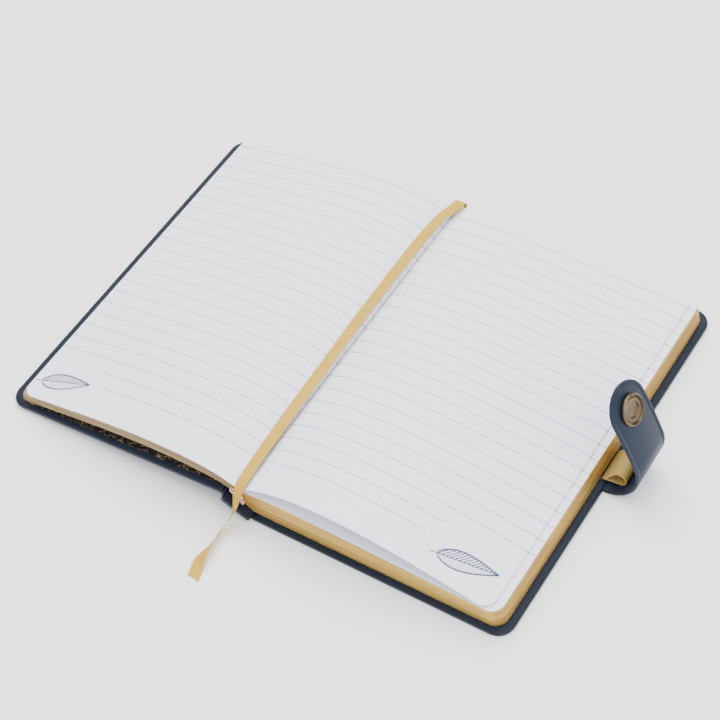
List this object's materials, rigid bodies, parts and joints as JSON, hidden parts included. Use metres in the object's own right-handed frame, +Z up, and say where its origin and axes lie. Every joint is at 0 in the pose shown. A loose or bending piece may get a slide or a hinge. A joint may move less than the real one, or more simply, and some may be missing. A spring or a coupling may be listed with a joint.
{
  "type": "notebook with strap clasp",
  "caption": "Open casebound ruled notebook with rounded covers, gilt page edges, ribbon marker, pen loop and a magnetic strap clasp.",
  "frame": {"origin": "middle of the back cover's underside, on the surface it lies on", "axes": "+X to the back cover's fore-edge and the strap, +Y to the head of the pages, +Z up; the front cover lies open on the -X side"},
  "size_m": [0.321, 0.259, 0.068],
  "materials": {
    "case_leather": "fine-grained navy coated leather",
    "board": "grey-brown binder's board",
    "endpaper": "black and gold marbled paper",
    "pages": "smooth ruled paper with gilt edges",
    "lining": "open-weave spine lining",
    "bands": "red and white sewn band",
    "ribbon": "satin ribbon",
    "elastic": "ribbed gold elastic",
    "strap_leather": "smooth navy coated leather",
    "clasp_metal": "antique brass",
    "magnet": "nickel-plated cup",
    "steel": "plain steel plate"
  },
  "bodies": {
    "back_cover": {"back_board": "board", "back_skin": "case_leather", "back_endpaper": "endpaper", "right_section_1": "pages", "right_section_2": "pages", "right_section_3": "pages", "right_section_4": "pages", "right_section_5": "pages", "spine_lining": "lining", "headband": "bands", "tailband": "bands", "ribbon": "ribbon", "pen_loop": "elastic", "strap_riser": "strap_leather", "riser_lining": "strap_leather"},
    "spine": {"spine_board": "board", "spine_skin": "case_leather", "back_joint": "case_leather", "front_joint": "case_leather"},
    "front_cover": {"front_board": "board", "front_skin": "case_leather", "front_endpaper": "endpaper", "keeper": "steel"},
    "left_pages": {"left_section_1": "pages", "left_section_2": "pages", "left_section_3": "pages"},
    "loose_leaf": {"top_leaf": "pages"},
    "flap": {"strap_flap": "strap_leather", "flap_lining": "strap_leather", "clasp_cap": "clasp_metal", "clasp_stem": "clasp_metal", "clasp_magnet": "magnet"}
  },
  "joints": [
    {"name": "front_cover_fold", "type": "hinge", "parent": "spine", "child": "front_cover", "pos_m": [-0.08531, 0, 0.01612], "axis": [0, 1, 0], "range_deg": [0, 124.46], "deforming": ["left_section_1", "left_section_2", "left_section_3", "ribbon", "front_joint"]},
    {"name": "spine_fold", "type": "hinge", "parent": "back_cover", "child": "spine", "pos_m": [-0.07415, 0, 0.00944], "axis": [0, 1, 0], "range_deg": [0, 60.6], "deforming": ["back_joint"]},
    {"name": "left_pages_turn", "type": "hinge", "parent": "back_cover", "child": "left_pages", "pos_m": [-0.07971, 0, 0.01953], "axis": [0, 1, 0], "range_deg": [0, 185.1]},
    {"name": "leaf_turn", "type": "hinge", "parent": "back_cover", "child": "loose_leaf", "pos_m": [-0.0783, 0, 0.017], "axis": [0, 1, 0], "range_deg": [-130, 0], "deforming": ["top_leaf"]},
    {"name": "strap_fold", "type": "hinge", "parent": "back_cover", "child": "flap", "pos_m": [0.0894, 0, 0.024], "axis": [0, -1, 0], "range_deg": [-60, 61]}
  ],
  "couplings": [
    {"joint": "spine_fold", "follows": "front_cover_fold", "ratio": 0.48609},
    {"joint": "left_pages_turn", "follows": "front_cover_fold", "ratio": 1.4861}
  ]
}
